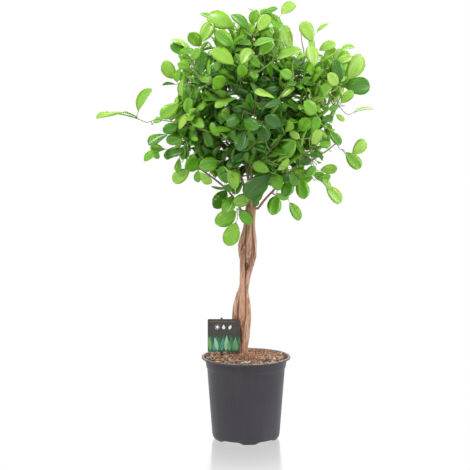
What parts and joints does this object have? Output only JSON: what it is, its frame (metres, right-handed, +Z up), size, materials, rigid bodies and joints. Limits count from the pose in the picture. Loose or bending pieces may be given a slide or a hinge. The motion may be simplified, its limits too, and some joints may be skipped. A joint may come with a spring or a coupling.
{
  "type": "potted ficus",
  "caption": "Braided-trunk ficus with a round leafy crown in a tapered nursery pot of bark soil, with a plain plant label on a stake.",
  "frame": {"origin": "middle of the pot's central pad, in the plane of its feet, on the floor", "axes": "+Z up along the pot's axis and the trunk; the front of the plant, with the label, faces -Y; +X is to the right of someone facing the front"},
  "size_m": [0.6468, 0.4919, 1.0396],
  "materials": {
    "pot_plastic": "satin dark charcoal polypropylene",
    "bark_mix": "loose bark and coir mix",
    "stem_bark": "young tan bark with fine ridges",
    "branch_bark": "brown twig bark",
    "leaf_green": "glossy leathery leaf, lime when young",
    "label_print": "printed plastic card",
    "stake_plastic": "black moulded plastic"
  },
  "bodies": {
    "root": {"branch_back": "branch_bark", "branch_back_left": "branch_bark", "branch_back_right": "branch_bark", "branch_front": "branch_bark", "branch_left": "branch_bark", "branch_lower_left": "branch_bark", "branch_lower_right": "branch_bark", "branch_right": "branch_bark", "branch_top": "branch_bark", "branch_upper_left": "branch_bark", "branch_upper_right": "branch_bark", "label_card": "label_print", "label_stake": "stake_plastic", "pot": "pot_plastic", "soil": "bark_mix", "spray_back_left": "leaf_green", "spray_back_low": "leaf_green", "spray_back_low_left": "leaf_green", "spray_back_low_right": "leaf_green", "spray_back_middle": "leaf_green", "spray_back_right": "leaf_green", "spray_back_top": "leaf_green", "spray_back_upper_left": "leaf_green", "spray_back_upper_right": "leaf_green", "spray_bottom": "leaf_green", "spray_bottom_left": "leaf_green", "spray_bottom_middle": "leaf_green", "spray_bottom_right": "leaf_green", "spray_far_left": "leaf_green", "spray_front_left": "leaf_green", "spray_front_low": "leaf_green", "spray_front_middle": "leaf_green", "spray_front_middle_left": "leaf_green", "spray_front_middle_right": "leaf_green", "spray_front_right": "leaf_green", "spray_front_top": "leaf_green", "spray_front_upper_left": "leaf_green", "spray_front_upper_right": "leaf_green", "spray_left": "leaf_green", "spray_left_bottom": "leaf_green", "spray_left_low": "leaf_green", "spray_left_upper": "leaf_green", "spray_right": "leaf_green", "spray_right_bottom": "leaf_green", "spray_right_low": "leaf_green", "spray_right_lower": "leaf_green", "spray_right_middle": "leaf_green", "spray_right_upper": "leaf_green", "spray_top": "leaf_green", "spray_top_left": "leaf_green", "spray_top_middle": "leaf_green", "spray_top_right": "leaf_green", "spray_upper_left": "leaf_green", "spray_upper_right": "leaf_green", "stem_a": "stem_bark", "stem_b": "stem_bark", "stem_c": "stem_bark", "stem_d": "stem_bark"}
  },
  "joints": []
}
